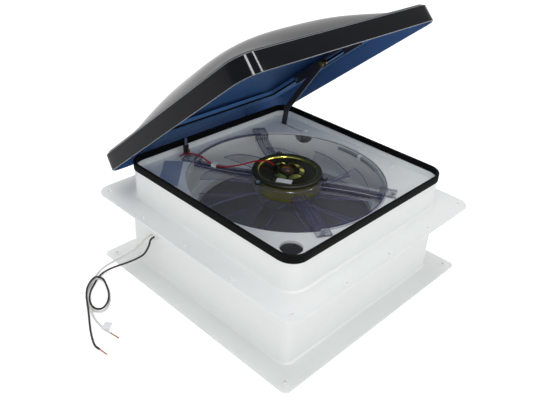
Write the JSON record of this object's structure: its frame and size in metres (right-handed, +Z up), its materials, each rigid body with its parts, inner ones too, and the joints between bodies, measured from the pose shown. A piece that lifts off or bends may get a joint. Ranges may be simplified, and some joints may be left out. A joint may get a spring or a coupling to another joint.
{
  "type": "roof vent",
  "caption": "Square roof vent: hinged domed lid raised by a worm-driven arm, motor fan in a shroud, insect screen, ceiling trim and supply leads.",
  "frame": {"origin": "middle of the roof flange's four corner screws, on the flange's underside", "axes": "+Z up, out of the roof; the lid's hinge runs along X on the +Y side, and the lid opens at its -Y edge"},
  "size_m": [0.5542, 0.4285, 0.4221],
  "materials": {
    "body_white": "satin moulded",
    "white_plastic": "satin moulded",
    "seal_rubber": "matte",
    "lid_smoke": "glossy",
    "lid_blue": "glossy",
    "clear_plastic": "clear",
    "motor_gold": "yellow zinc plated",
    "zinc_yellow": "yellow zinc plated",
    "steel": "bright zinc plated",
    "dark_steel": "dark painted",
    "bronze": "plain",
    "copper": "plain",
    "ferrite": "matte",
    "black_plastic": "matte",
    "label_white": "bare label",
    "label_silver": "bare foil label",
    "screen_grey": "woven net",
    "red_lead": "insulation",
    "black_lead": "insulation",
    "white_lead": "insulation"
  },
  "bodies": {
    "vent_frame": {"base_frame": "body_white", "rim_seal": "seal_rubber", "fan_shroud": "body_white", "hinge_brackets": "steel", "hinge_pins": "steel", "motor_mount": "clear_plastic", "mount_screws": "steel", "motor_can": "motor_gold", "motor_end_plate": "motor_gold", "motor_screws": "steel", "motor_bushes": "bronze", "motor_magnets": "ferrite", "motor_brushes": "black_plastic", "motor_label": "label_white", "motor_grommet": "seal_rubber", "motor_lead": "red_lead", "lead_clip": "white_plastic", "lid_switch_body": "black_plastic", "lid_switch_terminal": "bronze", "thermostat_bulb": "steel", "bulb_clip": "white_plastic", "thermostat_tube": "steel", "thermostat_body": "black_plastic", "speed_switch_body": "black_plastic", "control_plate": "steel", "rating_plate": "label_silver", "deck_plug": "black_plastic", "deck_screws": "white_plastic", "gearbox_case": "white_plastic", "gearbox_cover": "white_plastic", "arm_pivot_pin": "steel", "screen_frame": "white_plastic", "insect_screen": "screen_grey", "ceiling_trim": "body_white", "lead_exit_grommet": "white_plastic", "supply_lead_black": "black_lead", "supply_lead_white": "white_lead", "lead_tips": "copper", "lead_tag": "label_white"},
    "lid": {"lid_shell": "lid_smoke", "lid_inner_frame": "lid_blue", "hinge_leaves": "dark_steel", "slide_track": "dark_steel", "track_screws": "steel"},
    "arm": {"lift_arm": "dark_steel", "lift_pin": "zinc_yellow", "worm_wheel": "white_plastic"},
    "crank": {"worm_shaft": "steel", "lift_knob": "white_plastic"},
    "rotor": {"fan": "clear_plastic", "motor_shaft": "steel", "motor_armature": "copper", "hub_nut": "steel"},
    "speed_control": {"speed_knob": "white_plastic"},
    "thermostat_control": {"thermostat_knob": "white_plastic"},
    "plunger": {"switch_plunger": "steel"},
    "latch_1": {"screen_latch_1": "white_plastic"},
    "latch_2": {"screen_latch_2": "white_plastic"},
    "latch_3": {"screen_latch_3": "white_plastic"},
    "latch_4": {"screen_latch_4": "white_plastic"}
  },
  "joints": [
    {"name": "lid_hinge", "type": "hinge", "parent": "vent_frame", "child": "lid", "pos_m": [0, 0.19, 0.03], "axis": [1, 0, 0], "range_deg": [0, 39.4]},
    {"name": "lift_arm", "type": "hinge", "parent": "vent_frame", "child": "arm", "pos_m": [0.13975, 0.143, 0.015], "axis": [1, 0, 0], "range_deg": [0, 48.5]},
    {"name": "lift_crank", "type": "hinge", "parent": "vent_frame", "child": "crank", "pos_m": [0.148, 0.122, 0], "axis": [0, 0, 1], "range_deg": [0, 1455]},
    {"name": "fan_spin", "type": "hinge", "parent": "vent_frame", "child": "rotor", "pos_m": [0, 0, 0], "axis": [0, 0, 1], "continuous": true},
    {"name": "lid_switch", "type": "slide", "parent": "vent_frame", "child": "plunger", "axis": [0, 0, -1], "range_m": [0, 0.008]},
    {"name": "speed_turn", "type": "hinge", "parent": "vent_frame", "child": "speed_control", "pos_m": [0.15, -0.12, -0.04], "axis": [0, 0, -1], "range_deg": [0, 120]},
    {"name": "thermostat_turn", "type": "hinge", "parent": "vent_frame", "child": "thermostat_control", "pos_m": [0.12, -0.15, -0.04], "axis": [0, 0, -1], "range_deg": [0, 270]},
    {"name": "latch_turn_1", "type": "hinge", "parent": "vent_frame", "child": "latch_1", "pos_m": [0.163, 0, -0.03], "axis": [0, 0, 1], "range_deg": [0, 90]},
    {"name": "latch_turn_2", "type": "hinge", "parent": "vent_frame", "child": "latch_2", "pos_m": [0, 0.163, -0.03], "axis": [0, 0, 1], "range_deg": [0, 90]},
    {"name": "latch_turn_3", "type": "hinge", "parent": "vent_frame", "child": "latch_3", "pos_m": [-0.163, 0, -0.03], "axis": [0, 0, 1], "range_deg": [0, 90]},
    {"name": "latch_turn_4", "type": "hinge", "parent": "vent_frame", "child": "latch_4", "pos_m": [0, -0.163, -0.03], "axis": [0, 0, 1], "range_deg": [0, 90]}
  ],
  "couplings": [
    {"joint": "lift_arm", "follows": "lid_hinge", "ratio": 1.2282},
    {"joint": "lift_crank", "follows": "lid_hinge", "ratio": 36.847},
    {"joint": "lid_switch", "follows": "lid_hinge", "m_per_rad": 0.0116}
  ]
}
